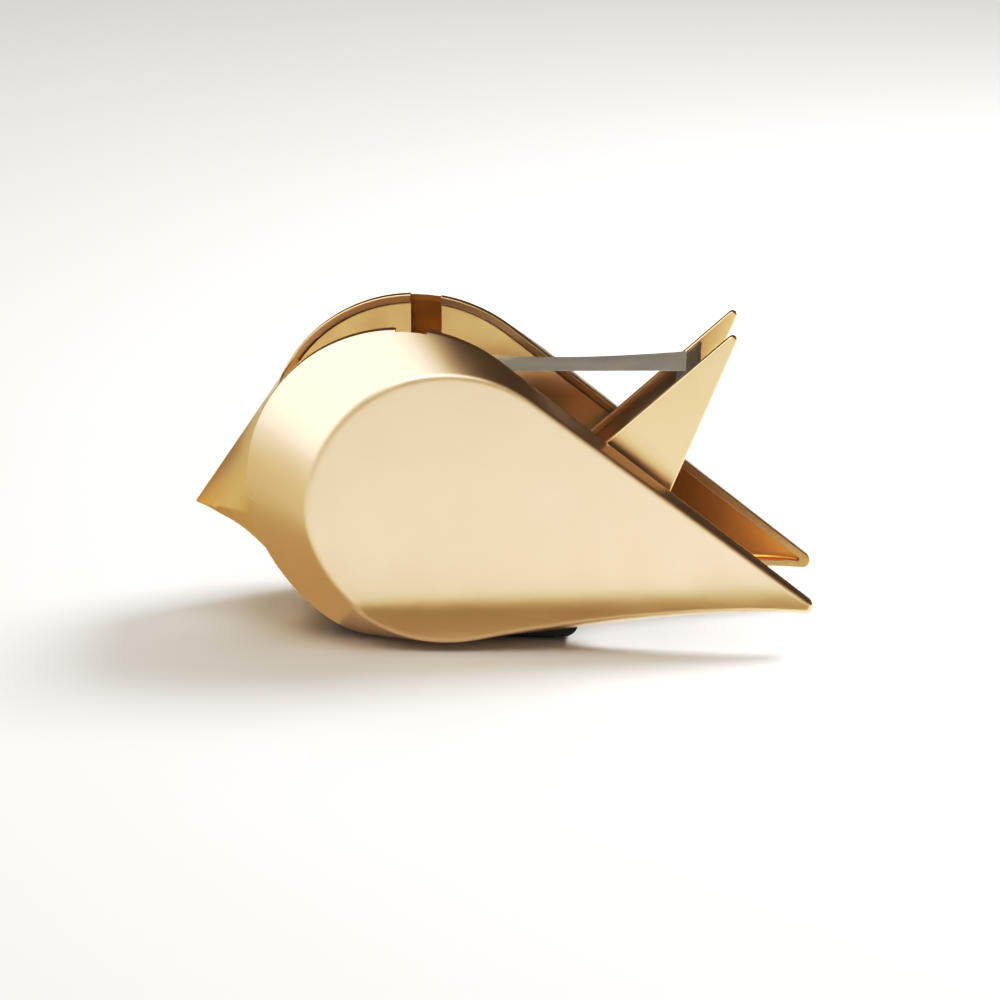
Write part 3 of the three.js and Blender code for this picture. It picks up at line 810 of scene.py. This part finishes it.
# ---- the pieces, one for each CAD node ----
SPECIAL = {
    "wing_cap_right": lambda name: wing_cap(name, -1),
    "wing_cap_left": lambda name: wing_cap(name, 1),
    "beak": beak,
    "tape_roll": tape_roll,
    "tape_core": tape_core,
    "hub_spool": hub_spool,
    "tape_leader": tape_leader,
}
EDGE_WIDTH = {
    "tail_fin": 0.5, "side_plate": 0.3, "tail_ramp": 0.2, "cutter": 0.08,
    "cradle": 0.3, "base_plate": 0.5, "non_skid": 0.3, "cap_screw": 0.15,
    "base_screw": 0.15, "ballast": 0.4,
}

for node in sorted(frame["nodes"]):
    if node in SPECIAL:
        piece = SPECIAL[node](f"{node}_fine")
    else:
        width = next(w for prefix, w in EDGE_WIDTH.items() if node.startswith(prefix))
        piece = refined(node, width)
    piece.data.materials.append(MATERIALS[FINISH_OF.get(node, slot_of(node))])
    # the hollow gets the painted deep-orange shade, the flat rim the painted darker reflection
    # towards the tail
    if node.startswith("wing_cap"):
        piece.data.materials.append(MATERIALS["gold_recess"])
        piece.data.materials.append(MATERIALS["gold_rim"])
    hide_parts(node)
    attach(piece, BODY_OF[node])

# ---- floor ----
FLOOR = (-3000.0, 3000.0)


def floor():
    ground = made("floor", [(x, y, 0) for x, y in rectangle(FLOOR, FLOOR)], [(0, 1, 2, 3)])
    material, tree, shader, place = new_material("floor_paint")
    cloud = noise(tree, place, 6, 3.0)
    colour = mixed(tree, cloud, rgb(0.80, 0.79, 0.77), rgb(0.78, 0.77, 0.75))
    connect(tree, shader, Base_Color=colour)
    constants(shader, Roughness=0.7, Specular_IOR_Level=0.2)
    ground.data.materials.append(material)
    ground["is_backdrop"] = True
    return ground


ground = floor()


# ---- cards that only the metal's reflections see ----
def card(name, corners, radiance):
    """A flat card, four corners in millimetres, that shades or tints what the metal mirrors."""
    board = made(name, corners, [(0, 1, 2, 3)])
    material = bpy.data.materials.new(name)
    material.use_nodes = True
    tree = material.node_tree
    tree.nodes.clear()
    soft = noise(tree, add(tree, "ShaderNodeTexCoord").outputs["Object"], 12, 2.0)
    colour = mixed(tree, soft, radiance, tuple(0.8 * c for c in radiance[:3]) + (1.0,))
    glow = add(tree, "ShaderNodeEmission", {"Color": colour})
    add(tree, "ShaderNodeOutputMaterial", {"Surface": glow.outputs[0]})
    board.data.materials.append(material)
    for ray in ("camera", "diffuse", "transmission", "volume_scatter", "shadow"):
        setattr(board, f"visible_{ray}", False)
    board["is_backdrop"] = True


LEFT_CARD_X, LEFT_CARD_Y, LEFT_CARD_Z = -140.0, (-320.0, 260.0), (0, 46.0)
FRONT_CARD_X, FRONT_CARD_Y, FRONT_CARD_Z = (-12.0, 125.0), -37.0, (0.5, 11.5)
CHIN_CARD_X, CHIN_CARD_Y, CHIN_CARD_Z = (-139.0, -20.0), (-66.0, 34.0), 0.3
card(
    "left_card",
    [(LEFT_CARD_X, y, z) for y, z in rectangle(LEFT_CARD_Y, LEFT_CARD_Z)],
    rgb(0.74, 0.62, 0.46),
)
card(
    "front_card",
    [(x, FRONT_CARD_Y, z) for x, z in rectangle(FRONT_CARD_X, FRONT_CARD_Z)],
    rgb(0.44, 0.365, 0.205),
)
card(
    "chin_card",
    [(x, y, CHIN_CARD_Z) for x, y in rectangle(CHIN_CARD_X, CHIN_CARD_Y)],
    rgb(0.54, 0.44, 0.27),
)


# ---- soft studio light ----
def gathered(name, objects):
    """A collection of what a lamp may light."""
    group = bpy.data.collections.new(name)
    for obj in objects:
        group.objects.link(obj)
    return group


def softbox(name, place, target, size, watts, lit):
    data = bpy.data.lights.new(name, "AREA")
    data.shape = "RECTANGLE"
    data.size, data.size_y = size
    data.energy = watts
    lamp = bpy.data.objects.new(name, data)
    lamp.location = place
    lamp.rotation_euler = (Vector(target) - Vector(place)).to_track_quat("-Z", "Y").to_euler()
    lamp.visible_camera = False
    bpy.context.scene.collection.objects.link(lamp)
    lamp.light_linking.receiver_collection = lit


MIDDLE = (0.02, 0.0, 0.04)
PIECES = gathered("lit_pieces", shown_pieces())
GROUND = gathered("lit_ground", [ground])
BAY = gathered("lit_bay", [
    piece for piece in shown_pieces() if piece.name.startswith(("side_plate", "cradle", "tail_ramp"))
])
# name, place, target, size, watts, what it lights
LAMPS = (
    ("front_left_box", (-0.60, -0.45, 0.36), MIDDLE, (0.50, 0.60), 1.8, PIECES),
    ("overhead_box", (-0.53, -0.45, 1.00), (-0.53, -0.45, 0.0), (0.96, 0.9), 4.3, PIECES),
    ("front_box", (-0.10, -0.95, 0.75), MIDDLE, (0.5, 0.3), 2.5, PIECES),
    ("bay_box", (0.03, -0.30, 0.42), MIDDLE, (0.25, 0.15), 5, BAY),
    ("ground_key", (0.58, 0.34, 0.74), MIDDLE, (0.35, 0.35), 13, GROUND),
    ("ground_wash", (0.0, -0.30, 1.50), (0.0, -0.30, 0.0), (1.5, 1.0), 10, GROUND),
    ("back_wash", (0.0, 1.30, 1.40), (0.0, 1.00, 0.0), (1.8, 0.8), 10, GROUND),
)
for lamp in LAMPS:
    softbox(*lamp)

SHADE_DIRECTION = (0.60, 0.75, 0.25)
SKY_LIGHT = (0.30, rgb(0.55, 0.50, 0.44))
SKY_MIDDLE = (0.50, rgb(0.36, 0.31, 0.25))
SKY_SHADE = (0.72, rgb(0.135, 0.092, 0.048))
SKY_STRENGTH = 0.8
world = bpy.data.worlds.new("studio")
bpy.context.scene.world = world
world.use_nodes = True
sky = world.node_tree
sky.nodes.clear()
direction = add(sky, "ShaderNodeTexCoord").outputs["Generated"]
facing = add(
    sky, "ShaderNodeVectorMath", {0: direction, 1: SHADE_DIRECTION}, operation="DOT_PRODUCT"
).outputs["Value"]
shade = add(sky, "ShaderNodeValToRGB", {"Fac": remap(sky, facing, -1, 1, 0, 1)})
ramp = shade.color_ramp
ramp.interpolation = "EASE"
for element, (position, colour) in zip(ramp.elements, (SKY_LIGHT, SKY_SHADE)):
    element.position = position
    element.color = colour
ramp.elements.new(SKY_MIDDLE[0]).color = SKY_MIDDLE[1]
glow = add(sky, "ShaderNodeBackground", {"Color": shade.outputs["Color"], "Strength": SKY_STRENGTH})
add(sky, "ShaderNodeOutputWorld", {"Surface": glow.outputs[0]})

# ---- camera at the photograph's angle ----
AZIMUTH, ELEVATION, DISTANCE = 4.63 * DEG, 19.03 * DEG, 0.7576
TARGET = Vector((0.02459, 0.0, 0.03481))
LENS, SENSOR = 98.17, 36.0
camera_data = bpy.data.cameras.new("camera")
camera_data.lens = LENS
camera_data.sensor_width = SENSOR
camera = bpy.data.objects.new("camera", camera_data)
away = Vector((
    math.sin(AZIMUTH) * math.cos(ELEVATION),
    -math.cos(AZIMUTH) * math.cos(ELEVATION),
    math.sin(ELEVATION),
))
camera.location = TARGET + away * DISTANCE
camera.rotation_euler = (-away).to_track_quat("-Z", "Y").to_euler()
bpy.context.scene.collection.objects.link(camera)
bpy.context.scene.camera = camera

# The photograph's contrast: a soft shoulder in the lights and a toe in the shadows.
TONE_CURVE = ((0.12, 0.075), (0.23, 0.185), (0.42, 0.445), (0.56, 0.60), (0.76, 0.75))
TONE_WHITE = 0.90
view = bpy.context.scene.view_settings
view.view_transform = "Standard"
view.use_curve_mapping = True
view.curve_mapping.extend = "EXTRAPOLATED"
tone = view.curve_mapping.curves[3]
tone.points[-1].location = (1.0, TONE_WHITE)
for light_in, light_out in TONE_CURVE:
    tone.points.new(light_in, light_out)
view.curve_mapping.update()
